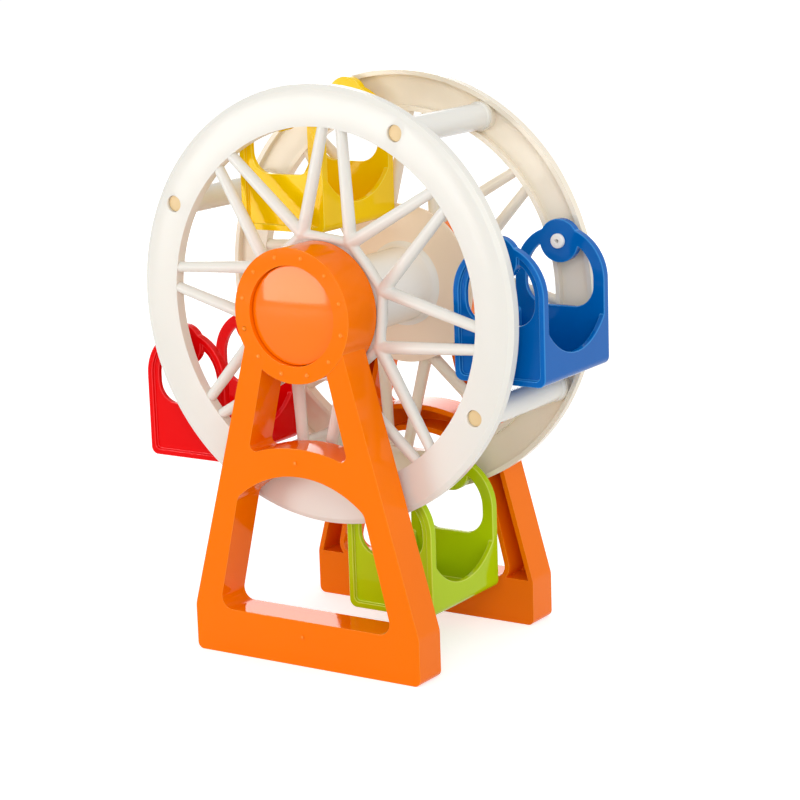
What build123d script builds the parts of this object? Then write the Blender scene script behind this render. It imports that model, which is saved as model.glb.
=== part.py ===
"""Tabletop ferris wheel toy: two A-frame stands, a double spoked wheel on a fixed axle, four hanging baskets.

The origin is the middle of the footprint on the table, +Z is up, the axle lies along Y and the front
stand faces -Y. All sizes are in millimetres.
"""

from build123d import *
from math import asin, cos, degrees, radians, sin, sqrt
import os

# ---- overall sizes ----------------------------------------------------------------------------
total_height = 210.0  # table to the top of the rims
total_depth = 95.0  # outer face to outer face of the two drums
wheel_radius = 80.0
axis_height = total_height - wheel_radius
running_gap = 0.3  # between faces that turn past each other
fit_gap = 0.05  # radial, between a pin or screw and its hole
back_out = 2.0  # the back half of the wheel stands this much further out than the front half
basket_place = 2.0  # the baskets' middle lies this far behind the middle of the toy

# ---- stands -----------------------------------------------------------------------------------
base_width = 98.6
foot_height = 17.5  # where the upright foot turns into the slanted leg
leg_depth = 14.0
stand_wall = 2.0
drum_radius = 24.5
drum_depth = 17.8  # of the front stand; the back one is shallower by back_out
drum_proud = 0.4  # the drum's face stands out from the legs by this much
leg_meets_drum = 30.0  # degrees below level where the leg's outer edge reaches the drum
arch_low, arch_low_width, arch_crown = 60.6, 55.4, 71.3  # underside of the cross bar
bar_low, bar_low_width, bar_crown = 77.7, 43.8, 81.7  # top of the cross bar
window_floor, window_floor_width = 17.3, 76.4
window_top_width = 28.0  # upper window, where it runs into the drum
window_corner = 4.5
foot_corner = 2.5
kink_radius = 8.0  # where the upright foot bends into the leg
rivet_count = 12
rivet_circle = 21.6
rivet_radius, rivet_height, rivet_taper = 1.0, 0.5, 40.0
rivet_start = 16.0

# ---- hub caps, axle and its screws ------------------------------------------------------------
cap_radius = 18.0
cap_gap = 0.15
cap_sunk = 1.2  # from the drum's face down to the cap
cap_thickness = 1.6
cap_skirt = 1.8
screw_room = 3.2  # height under the cap for the screw head
drum_floor = 2.4
boss_radius = 7.0
axle_radius = 4.0
axle_flat = 6.4  # across the flats of the keyed ends
key_overrun = 1.0  # the flats go on past the boss by this much
axle_gap = 0.06
screw_radius, screw_length = 1.5, 12.0
screw_head_radius, screw_head_height = 3.6, 2.2

# ---- wheels -----------------------------------------------------------------------------------
rim_width = 15.0
rim_face = 30.0  # from the middle of the toy to the rim's crease, the widest point of the wheel
rim_crease = 73.0  # radius of the crease
rim_fall_out, rim_fall_in = 0.6, 0.7  # how far the face falls from the crease to its two edges
rim_bevel, rim_bevel_drop = 1.8, 1.1
rim_depth = 5.0  # from the crease plane to the inner edges of the flanges
rim_wall = 1.8
spoke_plane = 27.2  # from the middle of the toy
spoke_pairs = 8
wheel_phase = 16.6  # degrees, the first basket and the first hub node
pair_spread = 3.45  # degrees each side of a pair's middle, at the rim
spoke_hub_radius, spoke_rim_radius = 2.4, 2.0
spoke_root = 6.2  # where a spoke leaves its stub on the hub ring
spoke_trim = 0.05  # between a spoke's flat end and the round inner wall of the rim
node_circle = 27.1
node_radius, node_height = 2.9, 4.4
bar_sides = 8  # spokes, nodes, bosses and rivets are drawn with this many flats
beam_size, beam_cut = 4.0, 1.1
web_thickness = 1.6
hub_boss_end = 29.2
hub_radius, hub_wall = 14.0, 2.0
flange_radius, flange_thickness = 29.0, 1.2  # the round flange against the back wheel's nodes
bar_circle = 72.5
bar_radius = 4.9
bar_seat_radius = 5.6
tenon_radius = 3.0
tenon_sunk = 1.2  # the tenon's end lies this far below the rim's crease plane

# ---- baskets and their pins -------------------------------------------------------------------
basket_count = 4
pivot_circle = 72.5
basket_width, basket_depth = 36.6, 46.4
basket_drop = 44.2  # pivot to the underside
basket_wall = 2.0
arch_drop = 13.0  # pivot to the middle of the end plate's arch
ear_radius = 7.9
lip_width, lip_height = 2.2, 1.3
opening_width, opening_floor = 27.6, 23.5
opening_corner = 8.0
scoop_radius, scoop_drop = 25.6, 35.0  # the round cut-out of each side wall
basket_corner = 3.0
pin_radius, pin_depth = 1.75, 4.6
pin_head_radius, pin_head_height = 2.7, 1.4
pin_boss_radius = 4.0
ear_gap = 0.05
# ---- end of sizes -----------------------------------------------------------------------------

half_depth = total_depth / 2
leg_face = half_depth - drum_proud
leg_back = leg_face - leg_depth
cap_face = half_depth - cap_sunk
cap_seat = cap_face - cap_thickness - screw_room
floor_back = cap_seat - drum_floor
cup_radius = cap_radius + cap_gap
axle_boss_end = hub_boss_end + running_gap
rim_inner_radius = wheel_radius - rim_width
rim_back = rim_face - rim_depth
ear_face = basket_depth / 2
front_pin_boss_end = ear_face - basket_place + running_gap
back_pin_boss_end = ear_face + basket_place + running_gap
quarter = 360 / basket_count


def polar(radius, angle, height=0.0):
    """A point on the wheel: radius and angle from the axle, in the sketch plane of the wheel."""
    return (radius * cos(radians(angle)), radius * sin(radians(angle)) + height)


def facing(distance):
    """The upright sketch plane at this distance from the middle, its normal towards the front."""
    return Plane.XZ.offset(distance)


def wheel_plane(distance):
    """The same plane with its origin on the axle."""
    return Plane((0, -distance, axis_height), x_dir=(1, 0, 0), z_dir=(0, -1, 0))


def basket_angle(index):
    return wheel_phase + index * quarter


def for_the_back(part, out=0.0):
    """The same moulding mirrored for the back of the toy, and moved outwards."""
    return Pos(0, out, 0) * mirror(part, about=Plane.XZ, mode=Mode.PRIVATE)


def save(builder, label):
    builder.part.label = label
    export_step(builder.part, f"parts/{label}.step")


os.makedirs("parts", exist_ok=True)

# ---- front and back stand ---------------------------------------------------------------------
leg_top = polar(drum_radius, -leg_meets_drum, axis_height)
window_top = axis_height - sqrt(drum_radius**2 - (window_top_width / 2) ** 2)

with BuildSketch() as a_frame:
    with BuildLine():
        Polyline(
            (-base_width / 2, 0),
            (base_width / 2, 0),
            (base_width / 2, foot_height),
            leg_top,
            (0, axis_height),
            (-leg_top[0], leg_top[1]),
            (-base_width / 2, foot_height),
            close=True,
        )
    make_face()
    fillet(a_frame.vertices().group_by(Axis.Y)[0], radius=foot_corner)
    fillet(a_frame.vertices().filter_by_position(Axis.Y, foot_height - 1, foot_height + 1), radius=kink_radius)
    with BuildSketch(mode=Mode.SUBTRACT) as lower_window:
        with BuildLine():
            low_left, low_right = (-window_floor_width / 2, window_floor), (window_floor_width / 2, window_floor)
            Line(low_left, low_right)
            Line(low_right, (arch_low_width / 2, arch_low))
            ThreePointArc((arch_low_width / 2, arch_low), (0, arch_crown), (-arch_low_width / 2, arch_low))
            Line((-arch_low_width / 2, arch_low), low_left)
        make_face()
        fillet(lower_window.vertices(), radius=window_corner)
    with BuildSketch(mode=Mode.SUBTRACT) as upper_window:
        with BuildLine():
            Line((-bar_low_width / 2, bar_low), (-window_top_width / 2, window_top))
            Line((-window_top_width / 2, window_top), (window_top_width / 2, window_top))
            Line((window_top_width / 2, window_top), (bar_low_width / 2, bar_low))
            ThreePointArc((bar_low_width / 2, bar_low), (0, bar_crown), (-bar_low_width / 2, bar_low))
        make_face()
        fillet(upper_window.vertices().group_by(Axis.Y)[0], radius=window_corner / 2)

with BuildSketch() as hollow:
    add(a_frame.sketch)
    offset(amount=-stand_wall, kind=Kind.INTERSECTION, mode=Mode.REPLACE)
    with Locations((0, foot_height / 2)):
        Rectangle(base_width, foot_height, mode=Mode.SUBTRACT)


def build_stand(out=0.0):
    """A stand for the front. Its drum ends further from the wheel by this much."""
    drum_back, boss_end = half_depth - drum_depth + out, axle_boss_end + out
    with BuildPart(mode=Mode.PRIVATE) as stand:
        with BuildSketch(facing(leg_face)):
            add(a_frame.sketch)
        extrude(amount=-leg_depth)
        # the legs and the cross bar are channels, open towards the wheel
        with BuildSketch(facing(leg_back)):
            add(hollow.sketch)
        extrude(amount=leg_depth - stand_wall, mode=Mode.SUBTRACT)
        # the base beam and the feet are hollow from below
        with BuildSketch(Plane.XY):
            with Locations((0, -(leg_face + leg_back) / 2)):
                Rectangle(base_width - 2 * stand_wall, leg_depth - 2 * stand_wall)
        extrude(amount=window_floor - stand_wall, mode=Mode.SUBTRACT)
        # the drum: outer wall, face ring, cup for the cap, floor and the boss that holds the axle
        with BuildSketch(wheel_plane(half_depth)):
            Circle(drum_radius)
        extrude(amount=drum_back - half_depth, mode=Mode.SUBTRACT)
        with BuildSketch(Plane.YZ):
            with BuildLine():
                Polyline(
                    (-drum_back, axis_height + drum_radius),
                    (-half_depth, axis_height + drum_radius),
                    (-half_depth, axis_height + cup_radius),
                    (-cap_seat, axis_height + cup_radius),
                    (-cap_seat, axis_height + screw_radius + fit_gap),
                    (-boss_end, axis_height + screw_radius + fit_gap),
                    (-boss_end, axis_height + boss_radius),
                    (-floor_back, axis_height + boss_radius),
                    (-floor_back, axis_height + cup_radius + stand_wall),
                    (-(half_depth - stand_wall), axis_height + cup_radius + stand_wall),
                    (-(half_depth - stand_wall), axis_height + drum_radius - stand_wall),
                    (-drum_back, axis_height + drum_radius - stand_wall),
                    close=True,
                )
            make_face()
        revolve(axis=Axis((0, 0, axis_height), (0, 1, 0)))
        with BuildSketch(wheel_plane(boss_end)):
            Circle(axle_radius + axle_gap)
            Rectangle(2 * boss_radius, axle_flat + 2 * axle_gap, mode=Mode.INTERSECT)
        extrude(amount=floor_back - boss_end, mode=Mode.SUBTRACT)
        # small rivet heads around the drum's face
        with BuildSketch(wheel_plane(half_depth)):
            with PolarLocations(rivet_circle, rivet_count, start_angle=rivet_start):
                RegularPolygon(rivet_radius, bar_sides)
        extrude(amount=rivet_height, taper=rivet_taper)
    return stand.part


with BuildPart() as front_stand:
    add(build_stand())
save(front_stand, "front_stand")

with BuildPart() as back_stand:
    add(for_the_back(build_stand(back_out)))
save(back_stand, "back_stand")

# ---- hub caps ---------------------------------------------------------------------------------
with BuildPart() as front_hub_cap:
    with BuildSketch(wheel_plane(cap_face)):
        Circle(cap_radius)
    extrude(amount=cap_seat - cap_face)
    with BuildSketch(wheel_plane(cap_seat)):
        Circle(cap_radius - cap_skirt)
    extrude(amount=screw_room, mode=Mode.SUBTRACT)
save(front_hub_cap, "front_hub_cap")

with BuildPart() as back_hub_cap:
    add(for_the_back(front_hub_cap.part))
save(back_hub_cap, "back_hub_cap")

# ---- axle and its screws ------------------------------------------------------------------------
with BuildPart() as axle:
    with BuildSketch(wheel_plane(floor_back)):
        Circle(axle_radius)
    extrude(amount=-2 * floor_back)
    for side, boss_end in ((1, axle_boss_end), (-1, axle_boss_end + back_out)):
        with BuildSketch(wheel_plane(side * floor_back)):
            Circle(2 * axle_radius)
            Rectangle(4 * axle_radius, axle_flat, mode=Mode.SUBTRACT)
        extrude(amount=-side * (floor_back - boss_end + key_overrun), mode=Mode.SUBTRACT)
        with BuildSketch(wheel_plane(side * floor_back)):
            Circle(screw_radius + fit_gap)
        extrude(amount=-side * (screw_length - drum_floor), mode=Mode.SUBTRACT)
save(axle, "axle")

with BuildPart() as axle_screws:
    for side in (1, -1):
        with BuildSketch(wheel_plane(side * cap_seat)):
            Circle(screw_head_radius)
        extrude(amount=side * screw_head_height)
        with BuildSketch(wheel_plane(side * cap_seat)):
            Circle(screw_radius)
        extrude(amount=-side * (screw_length - fit_gap))
        with BuildSketch(wheel_plane(side * (cap_seat + screw_head_height))):
            Rectangle(0.8, 3.4)
            Rectangle(3.4, 0.8)
        extrude(amount=-side * screw_head_height / 2, mode=Mode.SUBTRACT)
save(axle_screws, "axle_screws")

# ---- front and back rim -----------------------------------------------------------------------
outer_edge = wheel_radius - rim_bevel

def build_rim(boss_end):
    """A rim for the front. Its bosses for the basket pins end at this distance from the toy's middle."""
    with BuildPart(mode=Mode.PRIVATE) as rim:
        with BuildSketch(Plane.YZ):
            with BuildLine():
                # across the rim: the two flats of the face meet in the crease, the back is open
                Polyline(
                    (-rim_back, axis_height + wheel_radius),
                    (-(rim_face - rim_fall_out - rim_bevel_drop), axis_height + wheel_radius),
                    (-(rim_face - rim_fall_out), axis_height + outer_edge),
                    (-rim_face, axis_height + rim_crease),
                    (-(rim_face - rim_fall_in), axis_height + rim_inner_radius),
                    (-rim_back, axis_height + rim_inner_radius),
                    (-rim_back, axis_height + rim_inner_radius + rim_wall),
                    (-(rim_face - rim_fall_in - rim_wall), axis_height + rim_inner_radius + rim_wall),
                    (-(rim_face - rim_fall_in - rim_wall), axis_height + outer_edge),
                    (-rim_back, axis_height + outer_edge),
                    close=True,
                )
            make_face()
        revolve(axis=Axis((0, 0, axis_height), (0, 1, 0)))
        # seats for the cross bars and bosses for the basket pins
        with BuildSketch(wheel_plane(rim_back)):
            with PolarLocations(bar_circle, basket_count, start_angle=wheel_phase + quarter / 2):
                RegularPolygon(bar_seat_radius, bar_sides)
        extrude(amount=rim_depth - rim_wall)
        with BuildSketch(wheel_plane(boss_end)):
            with PolarLocations(pivot_circle, basket_count, start_angle=wheel_phase):
                RegularPolygon(pin_boss_radius, bar_sides)
        extrude(amount=rim_face - rim_wall - boss_end)
        with BuildSketch(wheel_plane(rim_face)):
            with PolarLocations(bar_circle, basket_count, start_angle=wheel_phase + quarter / 2):
                Circle(tenon_radius + fit_gap)
        extrude(amount=-rim_depth, mode=Mode.SUBTRACT)
        with BuildSketch(wheel_plane(boss_end)):
            with PolarLocations(pivot_circle, basket_count, start_angle=wheel_phase):
                Circle(pin_radius + fit_gap)
        extrude(amount=pin_depth, mode=Mode.SUBTRACT)
    return rim.part


with BuildPart() as front_rim:
    add(build_rim(front_pin_boss_end))
save(front_rim, "front_rim")

with BuildPart() as back_rim:
    add(for_the_back(build_rim(back_pin_boss_end - back_out), back_out))
save(back_rim, "back_rim")

# ---- front and back hub ring: octagon of beams, nodes and spoke stubs ---------------------------
pair_step = 360 / spoke_pairs
ring_apothem = node_circle * cos(radians(pair_step / 2))
node_angles = [wheel_phase + index * pair_step for index in range(spoke_pairs)]


def wheel_point(radius, angle):
    x, z = polar(radius, angle, axis_height)
    return Vector(x, -spoke_plane, z)


def spoke_ends():
    """Start and end of every spoke's centre line: two leave each node, one for each pair beside it."""
    for angle in node_angles:
        for turn in (1, -1):
            yield wheel_point(node_circle, angle), wheel_point(
                rim_inner_radius, angle + turn * (pair_step / 2 - pair_spread)
            )


def spoke_section(start, end, distance):
    """The plane across a spoke at this distance from its node, its Y axis along the axle."""
    along = (end - start).normalized()
    return Plane(start + along * distance, x_dir=along.cross(Vector(0, 1, 0)), z_dir=along)


half_flat = 180 / bar_sides
with BuildPart() as front_hub_ring:
    with BuildSketch(wheel_plane(spoke_plane + node_height / 2)):
        with PolarLocations(node_circle, spoke_pairs, start_angle=wheel_phase):
            RegularPolygon(node_radius, bar_sides, major_radius=False)
    extrude(amount=-node_height)
    # the beams between the nodes: an eight-sided ring with its long edges cut back
    with BuildPart(mode=Mode.PRIVATE) as beam_ring:
        with BuildSketch(wheel_plane(spoke_plane + beam_size / 2)):
            RegularPolygon(ring_apothem + beam_size / 2, spoke_pairs, major_radius=False, rotation=wheel_phase)
            RegularPolygon(
                ring_apothem - beam_size / 2, spoke_pairs, major_radius=False, rotation=wheel_phase, mode=Mode.SUBTRACT
            )
        extrude(amount=-beam_size)
        chamfer(beam_ring.faces().filter_by(Axis.Y).edges(), length=beam_cut)
    add(beam_ring.part)
    for start, end in spoke_ends():
        with BuildSketch(spoke_section(start, end, 0)):
            RegularPolygon(spoke_hub_radius, bar_sides, rotation=half_flat)
        extrude(amount=spoke_root)
    with BuildSketch(wheel_plane(rim_back)):
        RegularPolygon(node_circle, spoke_pairs, rotation=wheel_phase)
    extrude(amount=web_thickness)
    with BuildSketch(wheel_plane(hub_boss_end)):
        Circle(boss_radius)
    extrude(amount=rim_back - hub_boss_end)
    with BuildSketch(wheel_plane(hub_boss_end)):
        Circle(axle_radius + axle_gap)
    extrude(amount=rim_back - hub_boss_end, mode=Mode.SUBTRACT)
save(front_hub_ring, "front_hub_ring")

with BuildPart() as back_hub_ring:
    add(for_the_back(front_hub_ring.part, back_out))
save(back_hub_ring, "back_hub_ring")

# ---- spokes -----------------------------------------------------------------------------------
with BuildPart() as front_spokes:
    for start, end in spoke_ends():
        with BuildSketch(spoke_section(start, end, spoke_root)):
            RegularPolygon(spoke_hub_radius, bar_sides, rotation=half_flat)
        with BuildSketch(spoke_section(start, end, (end - start).length + spoke_rim_radius)):
            RegularPolygon(spoke_rim_radius, bar_sides, rotation=half_flat)
        loft(ruled=True)
        # trimmed square to the rim, where its inner wall stands
        outward = (end - Vector(0, -spoke_plane, axis_height)).normalized()
        with BuildSketch(Plane(end - outward * spoke_trim, z_dir=outward)):
            Circle(3 * spoke_rim_radius)
        extrude(amount=2 * spoke_rim_radius, mode=Mode.SUBTRACT)
save(front_spokes, "front_spokes")

with BuildPart() as back_spokes:
    add(for_the_back(front_spokes.part, back_out))
save(back_spokes, "back_spokes")

# ---- hub tube with its flange --------------------------------------------------------------------
flange_back = spoke_plane + back_out - spoke_hub_radius - fit_gap
wheel_inside = 2 * rim_back + back_out  # between the inner edges of the two rims
with BuildPart() as hub_tube:
    with BuildSketch(wheel_plane(rim_back)):
        Circle(hub_radius)
    extrude(amount=-wheel_inside)
    with BuildSketch(wheel_plane(-flange_back)):
        Circle(flange_radius)
    extrude(amount=flange_thickness)
    with BuildSketch(wheel_plane(rim_back)):
        Circle(hub_radius - hub_wall)
    extrude(amount=-wheel_inside, mode=Mode.SUBTRACT)
save(hub_tube, "hub_tube")

# ---- cross bars ---------------------------------------------------------------------------------
for index in range(basket_count):
    x, z = polar(bar_circle, basket_angle(index + 0.5), axis_height)
    with BuildPart() as cross_bar:
        with BuildSketch(Plane((x, -rim_back, z), x_dir=(1, 0, 0), z_dir=(0, -1, 0))):
            Circle(bar_radius)
        extrude(amount=-wheel_inside)
        with BuildSketch(Plane((x, -(rim_face - tenon_sunk), z), x_dir=(1, 0, 0), z_dir=(0, -1, 0))):
            Circle(tenon_radius)
        extrude(amount=-wheel_inside - 2 * (rim_depth - tenon_sunk))
    save(cross_bar, f"cross_bar_{index + 1}")

# ---- baskets ------------------------------------------------------------------------------------
half_width = basket_width / 2
plate_inner = ear_face - lip_height - basket_wall
inner_half = half_width - basket_wall
scoop_middle = scoop_drop - scoop_radius
scoop_edge = scoop_middle + sqrt(scoop_radius**2 - plate_inner**2)


def basket_outline(inset=0.0):
    """End plate: straight sides, rounded bottom corners and an arch, without the ear."""
    half, bottom = half_width - inset, -basket_drop + inset
    with BuildSketch(mode=Mode.PRIVATE) as outline:
        with BuildLine():
            Line((-half, -arch_drop), (-half, bottom))
            Line((-half, bottom), (half, bottom))
            Line((half, bottom), (half, -arch_drop))
            RadiusArc((half, -arch_drop), (-half, -arch_drop), -half)
        make_face()
        fillet(outline.vertices().group_by(Axis.Y)[0], radius=basket_corner - inset / 2)
    return outline.sketch


def basket_opening():
    """The window of an end plate, which the round ear bulges into."""
    half = opening_width / 2
    with BuildSketch(mode=Mode.PRIVATE) as opening:
        with BuildLine():
            Line((-half, -arch_drop), (-half, -opening_floor))
            Line((-half, -opening_floor), (half, -opening_floor))
            Line((half, -opening_floor), (half, -arch_drop))
            RadiusArc((half, -arch_drop), (-half, -arch_drop), -half)
        make_face()
        fillet(opening.vertices().group_by(Axis.Y)[0], radius=opening_corner)
        Circle(ear_radius, mode=Mode.SUBTRACT)
    return opening.sketch


def build_basket():
    with BuildPart(mode=Mode.PRIVATE) as basket:
        with BuildSketch(Plane.XZ.offset(ear_face)):
            add(basket_outline())
            Circle(ear_radius)
        extrude(amount=-basket_depth)
        # the inside, open at the top between the end plates
        with BuildSketch(Plane.XZ.offset(plate_inner)):
            with BuildLine():
                Polyline(
                    (-inner_half, basket_drop),
                    (-inner_half, -basket_drop + basket_wall),
                    (inner_half, -basket_drop + basket_wall),
                    (inner_half, basket_drop),
                    close=True,
                )
            make_face()
        extrude(amount=-2 * plate_inner, mode=Mode.SUBTRACT)
        # the scoop through both side walls, and all that stands above it
        with BuildSketch(Plane.YZ.offset(-basket_width)):
            with Locations((0, -scoop_middle)):
                Circle(scoop_radius)
            with Locations((0, (basket_drop - scoop_edge) / 2)):
                Rectangle(2 * scoop_radius, basket_drop + scoop_edge)
            Rectangle(2 * plate_inner, 4 * basket_drop, mode=Mode.INTERSECT)
        extrude(amount=2 * basket_width, mode=Mode.SUBTRACT)
        for side in (1, -1):
            # the plate is sunk inside its lip, with a round pad left at the ear
            with BuildSketch(Plane.XZ.offset(side * ear_face)):
                add(basket_outline(lip_width))
                Circle(ear_radius, mode=Mode.SUBTRACT)
            extrude(amount=-side * lip_height, mode=Mode.SUBTRACT)
        with BuildSketch(Plane.XZ.offset(ear_face)):
            add(basket_opening())
            Circle(pin_radius + ear_gap)
        extrude(amount=-basket_depth, mode=Mode.SUBTRACT)
    return basket.part


basket_shape = build_basket()
basket_names = ["blue_gondola", "yellow_gondola", "red_gondola", "green_gondola"]
for index, name in enumerate(basket_names):
    x, z = polar(pivot_circle, basket_angle(index), axis_height)
    with BuildPart() as gondola:
        with Locations((x, basket_place, z)):
            add(basket_shape)
    save(gondola, name)

# ---- basket pins --------------------------------------------------------------------------------
head_seat = plate_inner - running_gap / 2  # from the basket's middle
for side, name in ((1, "front_gondola_pins"), (-1, "back_gondola_pins")):
    with BuildPart() as pins:
        for index in range(basket_count):
            x, z = polar(pivot_circle, basket_angle(index), axis_height)
            head = Plane((x, basket_place - side * head_seat, z), x_dir=(1, 0, 0), z_dir=(0, side, 0))
            with BuildSketch(head):
                Circle(pin_head_radius)
            extrude(amount=pin_head_height)
            with BuildSketch(head):
                Circle(pin_radius)
            extrude(amount=-(ear_face + running_gap + pin_depth - fit_gap - head_seat))
    save(pins, name)
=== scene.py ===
"""Tabletop ferris wheel toy in glossy moulded plastic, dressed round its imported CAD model."""

from math import cos, pi, radians, sin

import bpy
from mathutils import Matrix, Vector


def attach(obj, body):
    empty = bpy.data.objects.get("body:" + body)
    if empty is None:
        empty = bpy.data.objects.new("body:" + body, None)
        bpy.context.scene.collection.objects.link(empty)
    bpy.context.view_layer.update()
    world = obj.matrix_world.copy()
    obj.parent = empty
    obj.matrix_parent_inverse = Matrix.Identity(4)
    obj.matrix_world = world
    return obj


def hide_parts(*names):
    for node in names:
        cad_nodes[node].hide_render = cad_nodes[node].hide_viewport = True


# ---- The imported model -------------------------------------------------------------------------
# The CAD nodes come in first and stay where they are. Sizes are in metres, so lengths in
# millimetres are multiplied by MM.
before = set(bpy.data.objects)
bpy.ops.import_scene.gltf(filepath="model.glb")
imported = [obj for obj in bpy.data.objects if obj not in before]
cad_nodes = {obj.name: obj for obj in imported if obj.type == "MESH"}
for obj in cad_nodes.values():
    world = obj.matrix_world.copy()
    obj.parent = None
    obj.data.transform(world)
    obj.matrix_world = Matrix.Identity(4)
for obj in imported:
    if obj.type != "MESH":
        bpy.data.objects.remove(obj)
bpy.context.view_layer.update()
MM = 0.001
axle_height = 130 * MM

# ---- Camera -----------------------------------------------------------------------------------
# The camera stands to the right of the toy's front, somewhat above its middle, and looks down by
# 12.5 degrees. Its place, turn and lens put the toy where the photograph shows it.
photo_width = 800
focal_pixels = 2472.94
sensor_width = 36
camera_place = Vector((503.15, -743.32, 289.48)) * MM
camera_turn, camera_fall, camera_roll = radians(33.365), radians(12.548), radians(-1.899)

camera_data = bpy.data.cameras.new("camera")
camera_data.sensor_width = sensor_width
camera_data.lens = focal_pixels * sensor_width / photo_width
camera = bpy.data.objects.new("camera", camera_data)
bpy.context.scene.collection.objects.link(camera)
right = Vector((cos(camera_turn), sin(camera_turn), 0))
back = Vector((
    sin(camera_turn) * cos(camera_fall),
    -cos(camera_turn) * cos(camera_fall),
    sin(camera_fall),
))
up = back.cross(right)
rolled_right = right * cos(camera_roll) + up * sin(camera_roll)
rolled_up = up * cos(camera_roll) - right * sin(camera_roll)
camera_axes = Matrix((rolled_right, rolled_up, back)).transposed()
camera.matrix_world = Matrix.Translation(camera_place) @ camera_axes.to_4x4()
bpy.context.scene.camera = camera

# ---- Floor, white surroundings and studio lights ----------------------------------------------
# A paper floor and a room that the camera and the gloss see as white, and that light the toy more
# softly. Five soft boxes stand round it. The floor keeps the toy's shadow.
bpy.context.scene.view_settings.view_transform = "Standard"


def level_by_ray(tree, for_light, for_sight):
    """A strength with one value for rays that light things and one for rays that look at them.

    Camera rays, and rays that a mirroring or clear surface passes on, count as looking.
    """
    rays = tree.nodes.new("ShaderNodeLightPath")
    looking = rays.outputs["Is Camera Ray"]
    for kind in ("Is Transmission Ray", "Is Glossy Ray"):
        either = tree.nodes.new("ShaderNodeMath")
        either.operation = "MAXIMUM"
        tree.links.new(looking, either.inputs[0])
        tree.links.new(rays.outputs[kind], either.inputs[1])
        looking = either.outputs[0]
    level = tree.nodes.new("ShaderNodeMapRange")
    level.inputs["To Min"].default_value = for_light
    level.inputs["To Max"].default_value = for_sight
    tree.links.new(looking, level.inputs["Value"])
    return level.outputs["Result"]


room = bpy.data.worlds.new("white room")
bpy.context.scene.world = room
room.use_nodes = True
background = room.node_tree.nodes["Background"]
background.inputs["Color"].default_value = (1, 1, 1, 1)
room_level = level_by_ray(room.node_tree, for_light=0.62, for_sight=1)
room.node_tree.links.new(room_level, background.inputs["Strength"])

bpy.ops.mesh.primitive_plane_add(size=12, location=(0, 0, 0))
floor = bpy.context.object
floor.name = "floor"
paper = bpy.data.materials.new("white paper")
paper.use_nodes = True
paper_nodes, paper_links = paper.node_tree.nodes, paper.node_tree.links
paper_nodes.clear()
paper_out = paper_nodes.new("ShaderNodeOutputMaterial")
paper_sum = paper_nodes.new("ShaderNodeAddShader")
paper_diffuse = paper_nodes.new("ShaderNodeBsdfDiffuse")
paper_diffuse.inputs["Color"].default_value = (0.8, 0.8, 0.8, 1)
paper_glow = paper_nodes.new("ShaderNodeEmission")
paper_level = level_by_ray(paper.node_tree, for_light=0, for_sight=0.55)
paper_links.new(paper_level, paper_glow.inputs["Strength"])
paper_links.new(paper_diffuse.outputs[0], paper_sum.inputs[0])
paper_links.new(paper_glow.outputs[0], paper_sum.inputs[1])
paper_links.new(paper_sum.outputs[0], paper_out.inputs["Surface"])
floor.data.materials.append(paper)


toy_middle = Vector((0, 0, 0.11))


def soft_box(name, place, size, power):
    """A rectangular studio light that faces the middle of the toy."""
    lamp = bpy.data.lights.new(name, "AREA")
    lamp.shape = "RECTANGLE"
    lamp.size, lamp.size_y = size
    lamp.energy = power
    holder = bpy.data.objects.new(name, lamp)
    bpy.context.scene.collection.objects.link(holder)
    holder.location = place
    holder.rotation_euler = (Vector(place) - toy_middle).to_track_quat("Z", "Y").to_euler()
    holder.visible_camera = False


soft_box("box front left", place=(-0.483, -0.746, 0.12), size=(0.3, 0.2), power=1.6)
soft_box("box beside the camera", place=(0.9, -1.3, 0.8), size=(1.1, 0.9), power=7.2)
soft_box("box behind left", place=(-0.75, 1.0, 0.42), size=(1.0, 0.5), power=3.6)
soft_box("box overhead", place=(0.0, -0.1, 1.2), size=(0.9, 0.9), power=1.0)
soft_box("box right", place=(1.15, 0.0, 0.35), size=(0.6, 0.8), power=2.4)


# ---- Front and back stand ---------------------------------------------------------------------
# Each stand is one glossy orange moulding: an A-frame whose legs are channels, open towards the
# wheel, and a drum at the top whose face carries twelve small domes. The two hold the axle.
def select_only(piece):
    """Leaves this object alone selected and active."""
    bpy.ops.object.select_all(action="DESELECT")
    piece.select_set(True)
    bpy.context.view_layer.objects.active = piece


def apply_modifiers(piece):
    """Turns the piece's modifiers into plain mesh."""
    select_only(piece)
    for modifier in list(piece.modifiers):
        bpy.ops.object.modifier_apply(modifier=modifier.name)


def even_shading(piece, crease=32):
    """Smooths the curved faces, and keeps the flat ones flat up to their rounded edges."""
    select_only(piece)
    bpy.ops.object.shade_smooth_by_angle(angle=radians(crease))
    weighting = piece.modifiers.new("even shading", "WEIGHTED_NORMAL")
    weighting.weight = 50
    weighting.keep_sharp = True
    apply_modifiers(piece)


def soften(piece, width, segments=3, angle=25):
    """Rounds the piece's sharp edges, as the polished mould does, and evens out its shading.

    The rounded edges take the piece's second material, if it has one: a painted highlight.
    """
    bevel = piece.modifiers.new("soft edges", "BEVEL")
    bevel.width = width
    bevel.segments = segments
    bevel.limit_method = "ANGLE"
    bevel.angle_limit = radians(angle)
    bevel.miter_outer = "MITER_ARC"
    bevel.material = 1 if len(piece.data.materials) > 1 else -1
    apply_modifiers(piece)
    even_shading(piece)


def select_points(piece, wanted):
    """Opens the piece in edit mode with the vertices selected whose place is wanted."""
    select_only(piece)
    bpy.ops.object.mode_set(mode="EDIT")
    bpy.ops.mesh.select_mode(type="VERT")
    bpy.ops.mesh.select_all(action="DESELECT")
    bpy.ops.object.mode_set(mode="OBJECT")
    for vertex in piece.data.vertices:
        vertex.select = wanted(vertex.co)
    bpy.ops.object.mode_set(mode="EDIT")


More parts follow.
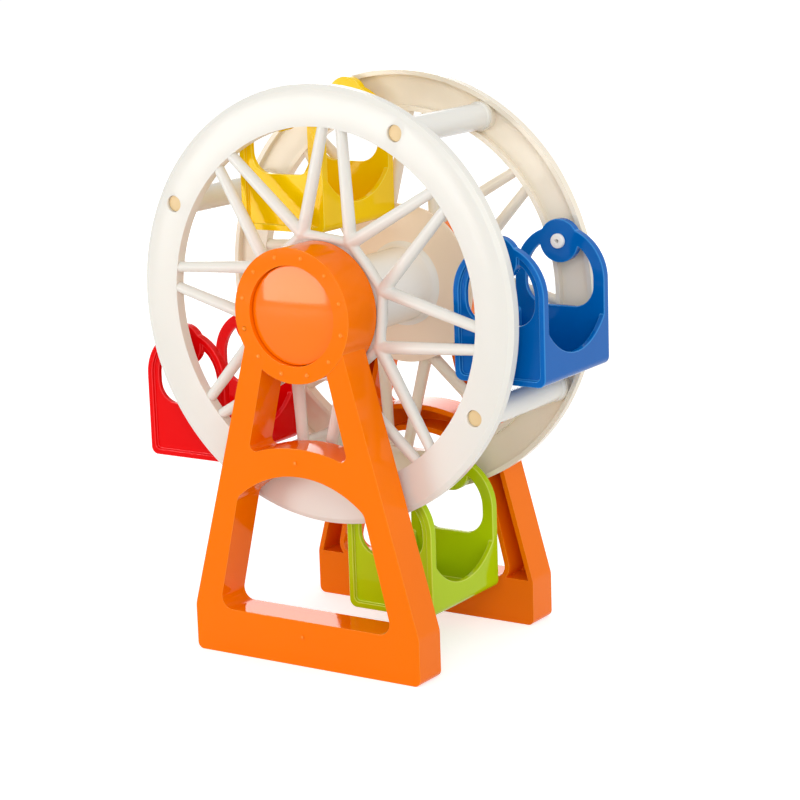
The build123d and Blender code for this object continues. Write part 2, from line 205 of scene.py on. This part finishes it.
def merge_flat_faces():
    """Merges the selected faces that lie in one plane, in edit mode."""
    bpy.ops.mesh.dissolve_limited(angle_limit=radians(0.6), delimit=set())


def moulding_from(node, name):
    """A new object with the CAD node's mesh, its triangles merged back into whole faces."""
    piece = bpy.data.objects.new(name, cad_nodes[node].data.copy())
    bpy.context.scene.collection.objects.link(piece)
    piece.data.materials.clear()
    select_only(piece)
    bpy.ops.object.mode_set(mode="EDIT")
    bpy.ops.mesh.select_all(action="SELECT")
    bpy.ops.mesh.remove_doubles(threshold=0.005 * MM)
    merge_flat_faces()
    bpy.ops.mesh.normals_make_consistent(inside=False)
    bpy.ops.object.mode_set(mode="OBJECT")
    return piece


def merge_into(piece, others):
    """Joins other objects into this one."""
    select_only(piece)
    for other in others:
        other.select_set(True)
    bpy.ops.object.join()
    return piece


def mirrored_copy(piece, name, out=0.0, back_material=None):
    """The same moulding mirrored for the back of the toy and moved outwards.

    The twin is of the same plastic, unless another is given.
    """
    twin = piece.copy()
    twin.data = piece.data.copy()
    twin.name = twin.data.name = name
    bpy.context.scene.collection.objects.link(twin)
    twin.data.transform(Matrix.Translation((0, out, 0)) @ Matrix.Scale(-1, 4, (0, 1, 0)))
    twin.data.flip_normals()
    if back_material is not None:
        twin.data.materials[0] = back_material
    if twin.data.has_custom_normals:
        select_only(twin)
        bpy.ops.mesh.customdata_custom_splitnormals_clear()
        even_shading(twin)
    return twin


def linear(*screen_colour):
    """A colour picked in screen values of 0 to 255, as the shaders want it."""
    channels = []
    for value in screen_colour:
        value /= 255
        channels.append(value / 12.92 if value <= 0.04045 else ((value + 0.055) / 1.055) ** 2.4)
    return (*channels, 1)


def mould_skin():
    """The slight unevenness of moulded plastic, shared by all its colours.

    Tone drifts a little over the piece, the gloss is a little cloudy, and the skin has shallow
    waves with a faint orange peel on them.
    """
    group = bpy.data.node_groups.new("mould skin", "ShaderNodeTree")
    for name, kind, way in (
        ("Colour", "NodeSocketColor", "INPUT"),
        ("Deep Colour", "NodeSocketColor", "INPUT"),
        ("Gloss Roughness", "NodeSocketFloat", "INPUT"),
        ("Cloud Size", "NodeSocketFloat", "INPUT"),
        ("Colour", "NodeSocketColor", "OUTPUT"),
        ("Roughness", "NodeSocketFloat", "OUTPUT"),
        ("Height", "NodeSocketFloat", "OUTPUT"),
    ):
        group.interface.new_socket(name=name, in_out=way, socket_type=kind)
    nodes, join = group.nodes, group.links.new
    given, given_back = nodes.new("NodeGroupInput"), nodes.new("NodeGroupOutput")
    place = nodes.new("ShaderNodeTexCoord")
    cloud = nodes.new("ShaderNodeTexNoise")
    cloud.inputs["Detail"].default_value = 2
    join(place.outputs["Object"], cloud.inputs["Vector"])
    join(given.outputs["Cloud Size"], cloud.inputs["Scale"])
    tone = nodes.new("ShaderNodeMix")
    tone.data_type = "RGBA"
    join(cloud.outputs["Fac"], tone.inputs["Factor"])
    join(given.outputs["Colour"], tone.inputs["A"])
    join(given.outputs["Deep Colour"], tone.inputs["B"])
    join(tone.outputs["Result"], given_back.inputs["Colour"])
    haze = nodes.new("ShaderNodeTexNoise")
    haze.inputs["Scale"].default_value = 130
    haze.inputs["Detail"].default_value = 3
    join(place.outputs["Object"], haze.inputs["Vector"])
    spread = nodes.new("ShaderNodeMapRange")
    spread.inputs["From Min"].default_value = 0.3
    spread.inputs["From Max"].default_value = 0.7
    spread.inputs["To Min"].default_value = 0.85
    spread.inputs["To Max"].default_value = 1.2
    join(haze.outputs["Fac"], spread.inputs["Value"])
    rough = nodes.new("ShaderNodeMath")
    rough.operation = "MULTIPLY"
    join(spread.outputs["Result"], rough.inputs[0])
    join(given.outputs["Gloss Roughness"], rough.inputs[1])
    join(rough.outputs[0], given_back.inputs["Roughness"])
    waves = nodes.new("ShaderNodeTexNoise")
    waves.inputs["Scale"].default_value = 75
    waves.inputs["Detail"].default_value = 0
    join(place.outputs["Object"], waves.inputs["Vector"])
    peel = nodes.new("ShaderNodeTexNoise")
    peel.inputs["Scale"].default_value = 420
    peel.inputs["Detail"].default_value = 1
    join(place.outputs["Object"], peel.inputs["Vector"])
    height = nodes.new("ShaderNodeMath")
    height.operation = "MULTIPLY_ADD"
    height.inputs[1].default_value = 0.05
    join(peel.outputs["Fac"], height.inputs[0])
    join(waves.outputs["Fac"], height.inputs[2])
    join(height.outputs[0], given_back.inputs["Height"])
    return group


mould_skin_group = mould_skin()


def moulded_plastic(
    name,
    colour,
    deep_colour,
    roughness=0.07,
    glow=0,
    glow_reach=(1, 1, 1),
    shine=0.15,
):
    """Glossy moulded plastic, whose tone drifts between its colour and the deeper one.

    Glow is how much light passes under its skin, glow_reach how far each colour gets there. What
    the plastic mirrors face on takes on some of its own colour.
    """
    material = bpy.data.materials.new(name)
    material.use_nodes = True
    nodes, join = material.node_tree.nodes, material.node_tree.links.new
    shader = nodes["Principled BSDF"]
    skin = nodes.new("ShaderNodeGroup")
    skin.node_tree = mould_skin_group
    skin.inputs["Colour"].default_value = colour
    skin.inputs["Deep Colour"].default_value = deep_colour
    skin.inputs["Gloss Roughness"].default_value = roughness
    skin.inputs["Cloud Size"].default_value = 22
    bump = nodes.new("ShaderNodeBump")
    bump.inputs["Strength"].default_value = 1
    bump.inputs["Distance"].default_value = 0.035 * MM
    join(skin.outputs["Colour"], shader.inputs["Base Color"])
    join(skin.outputs["Roughness"], shader.inputs["Roughness"])
    join(skin.outputs["Height"], bump.inputs["Height"])
    join(bump.outputs["Normal"], shader.inputs["Normal"])
    shader.inputs["IOR"].default_value = 1.5
    shader.inputs["Specular IOR Level"].default_value = shine
    strongest = max(colour[:3])
    own_share = 0.6
    facing_tint = [1 - own_share * (1 - channel / strongest) for channel in colour[:3]]
    shader.inputs["Specular Tint"].default_value = (*facing_tint, 1)
    shader.inputs["Subsurface Weight"].default_value = glow
    shader.inputs["Subsurface Radius"].default_value = glow_reach
    shader.inputs["Subsurface Scale"].default_value = 2 * MM
    return material


orange, deep_orange = linear(255, 124, 0), linear(253, 119, 0)
orange_plastic = moulded_plastic("orange plastic", orange, deep_orange)
# A lighter orange for rounded edges and small domes, a painted highlight on them; its gloss is also
# stronger.
orange_painted_highlight = moulded_plastic(
    "orange plastic painted highlight",
    linear(255, 142, 24),
    linear(255, 136, 18),
    shine=0.6,
)


def low_dome(place, radius, rise):
    """A round dome on an upright face, half of it sunk in."""
    bpy.ops.mesh.primitive_uv_sphere_add(
        segments=20,
        ring_count=12,
        radius=1,
        location=place,
        rotation=(pi / 2, 0, 0),
    )
    dome = bpy.context.object
    dome.scale = (radius, radius, rise)
    bpy.ops.object.transform_apply(location=True, rotation=True, scale=True)
    bpy.ops.object.shade_smooth()
    return dome


drum_face = 47.5 * MM
rivet_circle, rivet_count, first_rivet = 21.6 * MM, 12, 16
gate_mark_heights = (76.4 * MM, 11.4 * MM)
for side, node in ((-1, "front_stand"), (1, "back_stand")):
    stand = moulding_from(node, f"{node}_moulding")
    stand.data.materials.append(orange_plastic)
    stand.data.materials.append(orange_painted_highlight)
    # The rivets of the CAD model go, and rounder domes and two low gate marks are put on.
    select_points(stand, lambda point: side * point.y > drum_face + 0.05 * MM)
    bpy.ops.mesh.delete(type="VERT")
    bpy.ops.mesh.select_mode(type="EDGE")
    bpy.ops.mesh.select_all(action="DESELECT")
    bpy.ops.mesh.select_non_manifold(extend=False)
    bpy.ops.mesh.fill_holes(sides=0)
    bpy.ops.mesh.select_all(action="SELECT")
    merge_flat_faces()
    bpy.ops.object.mode_set(mode="OBJECT")
    soften(stand, width=0.45 * MM)
    domes = []
    for count in range(rivet_count):
        angle = radians(first_rivet + 360 / rivet_count * count)
        place = (rivet_circle * cos(angle), side * drum_face, axle_height + rivet_circle * sin(angle))
        domes.append(low_dome(place, radius=0.85 * MM, rise=0.5 * MM))
    for height in gate_mark_heights:
        domes.append(low_dome((-1 * MM, side * drum_face, height), radius=0.6 * MM, rise=0.12 * MM))
    # The domes and gate marks take the lighter orange, a painted highlight.
    for dome in domes:
        dome.data.materials.append(orange_painted_highlight)
    merge_into(stand, domes)
    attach(stand, "stand")
    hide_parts(node)

# ---- Hub caps ---------------------------------------------------------------------------------
# An orange disc with a polished, slightly crowned face is pressed into each drum, over the axle's
# screw. It is hollow behind and its edge is rounded.
def turned(name, profile, middle, steps=96, closed=True):
    """Spins a profile of (distance along Y, radius) in mm round the line through the middle point.

    A profile that starts and ends on that line is left open.
    """
    mesh = bpy.data.meshes.new(name)
    count = len(profile)
    points = [(middle[0], y * MM, middle[2] + radius * MM) for y, radius in profile]
    edges = [(index, index + 1) for index in range(count - 1)]
    if closed:
        edges.append((count - 1, 0))
    mesh.from_pydata(points, edges, [])
    piece = bpy.data.objects.new(name, mesh)
    bpy.context.scene.collection.objects.link(piece)
    select_only(piece)
    bpy.ops.object.mode_set(mode="EDIT")
    bpy.ops.mesh.select_all(action="SELECT")
    bpy.ops.mesh.spin(steps=steps, angle=2 * pi, center=(middle[0], 0, middle[2]), axis=(0, 1, 0))
    bpy.ops.mesh.select_all(action="SELECT")
    bpy.ops.mesh.remove_doubles(threshold=0.002 * MM)
    bpy.ops.mesh.normals_make_consistent(inside=False)
    bpy.ops.object.mode_set(mode="OBJECT")
    return piece


axle_middle = (0, 0, axle_height)
cap_face, cap_rise, cap_radius = 45.7, 0.9, 18
crown_radius, crown_steps = 17.5, 12
cap_profile = []
for step in range(crown_steps + 1):
    radius = crown_radius * step / crown_steps
    cap_profile.append((-(cap_face + cap_rise * (1 - (radius / cap_radius) ** 2)), radius))
cap_profile += [
    (-cap_face, 17.9),
    (-45.4, cap_radius),
    (-41.5, cap_radius),
    (-41.5, 16.2),
    (-44.7, 16.2),
    (-44.7, 0),
]
polished_orange = moulded_plastic("polished orange plastic", orange, deep_orange, shine=0.5)
front_cap = turned("front_cap", cap_profile, axle_middle, closed=False)
front_cap.data.materials.append(polished_orange)
soften(front_cap, width=0.2 * MM, segments=2, angle=30)
back_cap = mirrored_copy(front_cap, "back_cap")
for piece, node in ((front_cap, "front_hub_cap"), (back_cap, "back_hub_cap")):
    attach(piece, "stand")
    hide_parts(node)

# ---- Front and back rim -----------------------------------------------------------------------
# Each rim is a wide ivory ring, roof-shaped outside with a soft crease and hollow towards the
# middle. Four through holes take the cross bars, and four bosses inside take the basket pins. The
# back half of the wheel gets a warmer ivory, painted orange bounce light and shade.
ivory_plastic = moulded_plastic(
    "ivory plastic",
    linear(237, 235, 228),
    linear(234, 231, 222),
    roughness=0.18,
    glow=0.15,
    glow_reach=(1, 0.8, 0.6),
    shine=0.25,
)
# A warmer copy of the ivory for the back half of the wheel: painted orange bounce light and shade.
ivory_painted_bounce_plastic = moulded_plastic(
    "ivory plastic painted with bounce light",
    linear(249, 239, 222),
    linear(246, 235, 215),
    roughness=0.18,
    glow=0.15,
    glow_reach=(1, 0.8, 0.6),
    shine=0.25,
)


def add_cylinder(radius, depth, place, steps=40):
    """A cylinder that lies along Y."""
    bpy.ops.mesh.primitive_cylinder_add(
        vertices=steps,
        radius=radius,
        depth=depth,
        location=place,
        rotation=(pi / 2, 0, 0),
    )
    return bpy.context.object


def combine(piece, tool, way):
    """Fuses the tool with the piece, or cuts it out, and removes the tool."""
    boolean = piece.modifiers.new(way, "BOOLEAN")
    boolean.object = tool
    boolean.operation = way
    boolean.solver = "EXACT"
    apply_modifiers(piece)
    bpy.data.objects.remove(tool)


def on_wheel(radius, angle, y):
    """The place on the wheel at this radius and angle in degrees, at this distance along Y."""
    return Vector((radius * cos(radians(angle)), y, axle_height + radius * sin(radians(angle))))


wheel_phase = 16.6  # the angle of the first basket pin
quarter_turn, half_quarter = 90, 45
pivot_circle = bar_circle = 72.5 * MM
back_out = 2 * MM  # the back half of the wheel stands this much further out
rim_profile = [
    (-25, 80),
    (-28.3, 80),
    (-29.4, 78.2),
    (-30, 73),
    (-29.3, 65),
    (-25, 65),
    (-25, 66.8),
    (-27.5, 66.8),
    (-28.2, 73),
    (-27.6, 78.2),
    (-25, 78.2),
]


def rim_moulding(name, boss_end):
    """A rim for the front. Its pin bosses end at this distance in mm from the toy's middle."""
    boss_root = 28.6
    boss_length = (boss_root - boss_end) * MM
    boss_middle = -(boss_root + boss_end) / 2 * MM
    rim = turned(name, rim_profile, axle_middle, steps=144)
    for quarter in range(4):
        pin_angle = wheel_phase + quarter_turn * quarter
        bar_angle = pin_angle + half_quarter
        bar_seat = add_cylinder(5.6 * MM, 3.6 * MM, on_wheel(bar_circle, bar_angle, -26.8 * MM))
        combine(rim, bar_seat, "UNION")
        pin_boss = add_cylinder(4 * MM, boss_length, on_wheel(pivot_circle, pin_angle, boss_middle))
        combine(rim, pin_boss, "UNION")
        bar_hole = add_cylinder(3.05 * MM, 12 * MM, on_wheel(bar_circle, bar_angle, -28 * MM))
        combine(rim, bar_hole, "DIFFERENCE")
        pin_hole = add_cylinder(1.8 * MM, 9.2 * MM, on_wheel(pivot_circle, pin_angle, -boss_end * MM))
        combine(rim, pin_hole, "DIFFERENCE")
    soften(rim, width=0.45 * MM, angle=22)
    rim.data.materials.append(ivory_plastic)
    return rim


front_rim = rim_moulding("front_rim_moulding", boss_end=21.5)
back_half = rim_moulding("back_rim_half", boss_end=23.5)
back_rim = mirrored_copy(back_half, "back_rim_moulding", back_out, ivory_painted_bounce_plastic)
bpy.data.objects.remove(back_half)
for piece, node in ((front_rim, "front_rim"), (back_rim, "back_rim")):
    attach(piece, "wheel")
    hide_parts(node)

# ---- Spokes -----------------------------------------------------------------------------------
# Sixteen round spokes a side run in pairs from the hub ring's corners to the rim, and taper a
# little towards it. Neighbours from two corners nearly meet at the rim.
spoke_plane = 27.2 * MM
corner_circle, rim_inside = 27.1 * MM, 65 * MM
spoke_root, spoke_tip = 2.35 * MM, 2 * MM
corner_turn = 45
meeting_gap = 3.45  # degrees from a spoke's end to the middle between two corners


def rod_between(start, end, start_radius, end_radius, steps=24):
    """A round tapered rod between two points."""
    along = end - start
    bpy.ops.mesh.primitive_cone_add(
        vertices=steps,
        radius1=start_radius,
        radius2=end_radius,
        depth=along.length,
        location=(start + end) / 2,
        rotation=along.to_track_quat("Z", "Y").to_euler(),
    )
    rod = bpy.context.object
    bpy.ops.object.transform_apply(location=True, rotation=True, scale=True)
    return rod


def spoke_lines():
    """Start and direction of every spoke's middle line in the front wheel, and its end."""
    for corner in range(8):
        angle = wheel_phase + corner_turn * corner
        for way in (1, -1):
            start = on_wheel(corner_circle, angle, -spoke_plane)
            end_angle = angle + way * (corner_turn / 2 - meeting_gap)
            end = on_wheel(rim_inside, end_angle, -spoke_plane)
            yield start, (end - start).normalized(), end


rods = []
for start, along, end in spoke_lines():
    rods.append(rod_between(start + along * 5 * MM, end + along * 0.9 * MM, spoke_root, spoke_tip))
front_spokes = merge_into(rods[0], rods[1:])
front_spokes.name = front_spokes.data.name = "front_spoke_rods"
bpy.ops.object.shade_smooth_by_angle(angle=radians(40))
front_spokes.data.materials.append(ivory_plastic)
# The back spokes take the warmer ivory, painted bounce light and shade.
back_spokes = mirrored_copy(front_spokes, "back_spoke_rods", back_out, ivory_painted_bounce_plastic)
for piece, node in ((front_spokes, "front_spokes"), (back_spokes, "back_spokes")):
    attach(piece, "wheel")
    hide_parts(node)

# ---- Hub rings --------------------------------------------------------------------------------
# An eight-sided ring of round beams with a swelling at each corner, where two spokes start. A flat
# web fills it, and a boss in its middle turns on the axle. All of it flows together.
ball_radius, ball_flatness = 2.9 * MM, 0.78
hub_parts = [
    add_cylinder(26.6 * MM, 3.6 * MM, (0, -26.8 * MM, axle_height), steps=64),
    add_cylinder(7 * MM, 4.2 * MM, (0, -27.1 * MM, axle_height), steps=48),
]
for corner in range(8):
    angle = wheel_phase + corner_turn * corner
    here = on_wheel(corner_circle, angle, -spoke_plane)
    there = on_wheel(corner_circle, angle + corner_turn, -spoke_plane)
    hub_parts.append(rod_between(here, there, 2 * MM, 2 * MM))
    bpy.ops.mesh.primitive_uv_sphere_add(segments=24, ring_count=16, radius=ball_radius, location=here)
    ball = bpy.context.object
    ball.scale.y = ball_flatness
    bpy.ops.object.transform_apply(location=True, rotation=True, scale=True)
    hub_parts.append(ball)
for start, along, _ in spoke_lines():
    hub_parts.append(rod_between(start, start + along * 6.2 * MM, 2.45 * MM, spoke_root))
for part in hub_parts:
    select_only(part)
    bpy.ops.object.transform_apply(location=True, rotation=True, scale=True)
front_hub_ring = merge_into(hub_parts[0], hub_parts[1:])
front_hub_ring.name = front_hub_ring.data.name = "front_hub_ring_moulding"
fuse = front_hub_ring.modifiers.new("fuse", "REMESH")
fuse.mode = "VOXEL"
fuse.voxel_size = 0.3 * MM
settle = front_hub_ring.modifiers.new("settle", "SMOOTH")
settle.factor = 0.5
settle.iterations = 4
apply_modifiers(front_hub_ring)
bore = add_cylinder(4.06 * MM, 12 * MM, (0, -27 * MM, axle_height), steps=48)
combine(front_hub_ring, bore, "DIFFERENCE")
select_only(front_hub_ring)
bpy.ops.object.shade_smooth_by_angle(angle=radians(40))
front_hub_ring.data.materials.append(ivory_plastic)
# The back hub ring takes the warmer ivory, painted bounce light and shade.
back_hub_ring = mirrored_copy(front_hub_ring, "back_hub_ring_moulding", back_out, ivory_painted_bounce_plastic)
for piece, node in ((front_hub_ring, "front_hub_ring"), (back_hub_ring, "back_hub_ring")):
    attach(piece, "wheel")
    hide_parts(node)

# ---- Hub tube ---------------------------------------------------------------------------------
# The tube between the two wheels, with a round flange against the back wheel's ring. A hollow
# fillet leads from the tube into the flange. The flange and most of the fillet are painted peach,
# an orange glow of the stand's light coming through their thin plastic.
# The tube's ivory is lighter than the rims': painted light against the shade in the wheel's middle.
tube_ivory_painted_lighter = moulded_plastic(
    "ivory plastic painted lighter",
    linear(250, 247, 240),
    linear(248, 244, 235),
    roughness=0.18,
)
flange_painted_orange_glow = moulded_plastic(
    "ivory plastic with painted orange glow",
    linear(255, 236, 213),
    linear(254, 231, 205),
    roughness=0.18,
)
tube_front, tube_back, tube_bore, tube_radius = -25, 27, 12, 14
flange_back, flange_front, flange_radius = 26.75, 25.55, 30.2
fillet_radius, fillet_steps = 2.6, 8
painted_glow_from = 16 * MM  # the flange and most of the fillet lie outside this radius
tube_profile = [(tube_front, tube_radius)]
for step in range(fillet_steps + 1):
    turn = pi / 2 * step / fillet_steps
    tube_profile.append((
        flange_front - fillet_radius + fillet_radius * sin(turn),
        tube_radius + fillet_radius - fillet_radius * cos(turn),
    ))
tube_profile += [
    (flange_front, flange_radius),
    (flange_back, flange_radius),
    (flange_back, tube_radius),
    (tube_back, tube_radius),
    (tube_back, tube_bore),
    (tube_front, tube_bore),
]
hub_tube = turned("hub_tube_moulding", tube_profile, axle_middle)
soften(hub_tube, width=0.3 * MM, angle=30)
hub_tube.data.materials.append(tube_ivory_painted_lighter)
hub_tube.data.materials.append(flange_painted_orange_glow)
# Faces outside that radius take the peach ivory, painted orange glow.
for face in hub_tube.data.polygons:
    face_radius = (face.center - Vector((0, face.center.y, axle_height))).length
    face.material_index = 1 if face_radius > painted_glow_from else 0
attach(hub_tube, "wheel")
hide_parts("hub_tube")

# ---- Cross bars -------------------------------------------------------------------------------
# Four ivory bars join the two rims. Each widens at its ends with a rounded shoulder and goes on as
# a thinner tenon, pressed through the rim's hole, where its end shows sunk in. The sunk ends are
# painted tan, painted shade deep in the holes.
bar_profile = [
    (-28.8, 0),
    (-28.8, 3),
    (-25, 3),
    (-25, 5.2),
    (-23.6, 5.2),
    (-23.1, 5.1),
    (-22.8, 4.8),
    (24.8, 4.9),
    (25.1, 5.2),
    (25.6, 5.3),
    (27, 5.3),
    (27, 3),
    (30.8, 3),
    (30.8, 0),
]
# A tan ivory for the bars' sunk ends: painted shade deep in the rim's holes.
painted_hole_shade = moulded_plastic(
    "ivory plastic painted with hole shade",
    linear(236, 208, 160),
    linear(230, 200, 150),
    shine=0.1,
)
painted_shade_from = 29.3 * MM  # from halfway between the two rims, the bars' sunk ends lie past this
for quarter in range(4):
    middle = on_wheel(bar_circle, wheel_phase + half_quarter + quarter_turn * quarter, 0)
    bar = turned(f"cross_bar_rod_{quarter + 1}", bar_profile, middle, steps=48, closed=False)
    soften(bar, width=0.25 * MM, angle=40)
    bar.data.materials.append(ivory_plastic)
    bar.data.materials.append(painted_hole_shade)
    for face in bar.data.polygons:
        from_middle = abs(face.center.y - back_out / 2)
        face.material_index = 1 if from_middle > painted_shade_from else 0
    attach(bar, "wheel")
    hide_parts(f"cross_bar_{quarter + 1}")

# ---- Baskets ----------------------------------------------------------------------------------
# Four one-piece mouldings in blue, yellow, red and green. Each end plate is sunk inside a rounded
# lip and ends in a round ear, and the side walls are scooped out between the plates. A low ring
# marks the middle of each floor.
# Each basket's third colour is lighter and goes on its rounded edges, a painted highlight.
basket_colours = {
    "blue": (linear(0, 102, 186), linear(0, 96, 178), linear(40, 132, 206)),
    "yellow": (linear(255, 213, 0), linear(255, 208, 0), linear(255, 224, 60)),
    "red": (linear(242, 4, 8), linear(236, 2, 6), linear(255, 46, 50)),
    "green": (linear(184, 212, 12), linear(177, 206, 8), linear(204, 224, 70)),
}
basket_place = 2 * MM  # the baskets' middle lies this far behind the toy's
basket_floor = Vector((0, 0, -42.2)) * MM  # from the pins
floor_ring_flatness = 0.7
for quarter, (colour, shades) in enumerate(basket_colours.items()):
    shade, deep_shade, painted_edge_highlight = shades
    basket_plastic = moulded_plastic(f"{colour} plastic", shade, deep_shade)
    basket_painted_highlight = moulded_plastic(f"{colour} plastic painted highlight", painted_edge_highlight, painted_edge_highlight, shine=0.5)
    basket = moulding_from(f"{colour}_gondola", f"{colour}_basket_moulding")
    basket.data.materials.append(basket_plastic)
    basket.data.materials.append(basket_painted_highlight)
    soften(basket, width=0.4 * MM, angle=30)
    pins_middle = on_wheel(pivot_circle, wheel_phase + quarter_turn * quarter, basket_place)
    bpy.ops.mesh.primitive_torus_add(
        major_segments=48,
        minor_segments=12,
        major_radius=9 * MM,
        minor_radius=0.6 * MM,
        location=pins_middle + basket_floor,
    )
    floor_ring = bpy.context.object
    floor_ring.scale.z = floor_ring_flatness
    bpy.ops.object.transform_apply(location=True, rotation=True, scale=True)
    bpy.ops.object.shade_smooth()
    floor_ring.data.materials.append(basket_plastic)
    merge_into(basket, [floor_ring])
    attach(basket, f"{colour}_basket")
    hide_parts(f"{colour}_gondola")

# ---- Basket pins ------------------------------------------------------------------------------
# White pins with a rounded head hold each ear to its boss on the rim. Each has a narrow hole in
# the middle of its head.
white_plastic = moulded_plastic(
    "white plastic",
    linear(250, 248, 244),
    linear(244, 240, 234),
    roughness=0.18,
)
pin_profile = [
    (-28.0, 0),
    (-28.0, 1.75),
    (-19.75, 1.75),
    (-19.75, 2.7),
    (-18.9, 2.7),
    (-18.55, 2.5),
    (-18.37, 2.1),
    (-18.35, 0.9),
    (-18.5, 0.8),
    (-21.5, 0.7),
    (-21.5, 0),
]
pin_sets = (
    (1, "front_pins", "front_gondola_pins"),
    (-1, "back_pins", "back_gondola_pins"),
)
for side, name, node in pin_sets:
    pins = []
    for quarter in range(4):
        middle = on_wheel(pivot_circle, wheel_phase + quarter_turn * quarter, 0)
        profile = [(basket_place / MM + side * y, radius) for y, radius in pin_profile]
        pins.append(turned(f"{name}_{quarter}", profile, middle, steps=32, closed=False))
    pins = merge_into(pins[0], pins[1:])
    pins.name = pins.data.name = name
    bpy.ops.object.shade_smooth_by_angle(angle=radians(35))
    pins.data.materials.append(white_plastic)
    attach(pins, "wheel")
    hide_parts(node)

# ---- Axle and its screws ----------------------------------------------------------------------
# These two stay as their CAD nodes, and only get their materials: a white rod with flats at its
# ends, and the cross-head screws that hold it in each drum.
cad_nodes["axle"].data.materials.clear()
cad_nodes["axle"].data.materials.append(white_plastic)
screw_steel = bpy.data.materials.new("screw steel")
screw_steel.use_nodes = True
steel_nodes, steel_links = screw_steel.node_tree.nodes, screw_steel.node_tree.links
steel = steel_nodes["Principled BSDF"]
steel.inputs["Metallic"].default_value = 1
steel_place = steel_nodes.new("ShaderNodeTexCoord")
steel_grain = steel_nodes.new("ShaderNodeTexNoise")
steel_grain.inputs["Scale"].default_value = 900
steel_shade = steel_nodes.new("ShaderNodeMix")
steel_shade.data_type = "RGBA"
steel_shade.inputs["A"].default_value = linear(178, 178, 176)
steel_shade.inputs["B"].default_value = linear(206, 205, 202)
steel_gloss = steel_nodes.new("ShaderNodeMapRange")
steel_gloss.inputs["To Min"].default_value = 0.24
steel_gloss.inputs["To Max"].default_value = 0.4
steel_links.new(steel_place.outputs["Object"], steel_grain.inputs["Vector"])
steel_links.new(steel_grain.outputs["Fac"], steel_shade.inputs["Factor"])
steel_links.new(steel_grain.outputs["Fac"], steel_gloss.inputs["Value"])
steel_links.new(steel_shade.outputs["Result"], steel.inputs["Base Color"])
steel_links.new(steel_gloss.outputs["Result"], steel.inputs["Roughness"])
cad_nodes["axle_screws"].data.materials.clear()
cad_nodes["axle_screws"].data.materials.append(screw_steel)
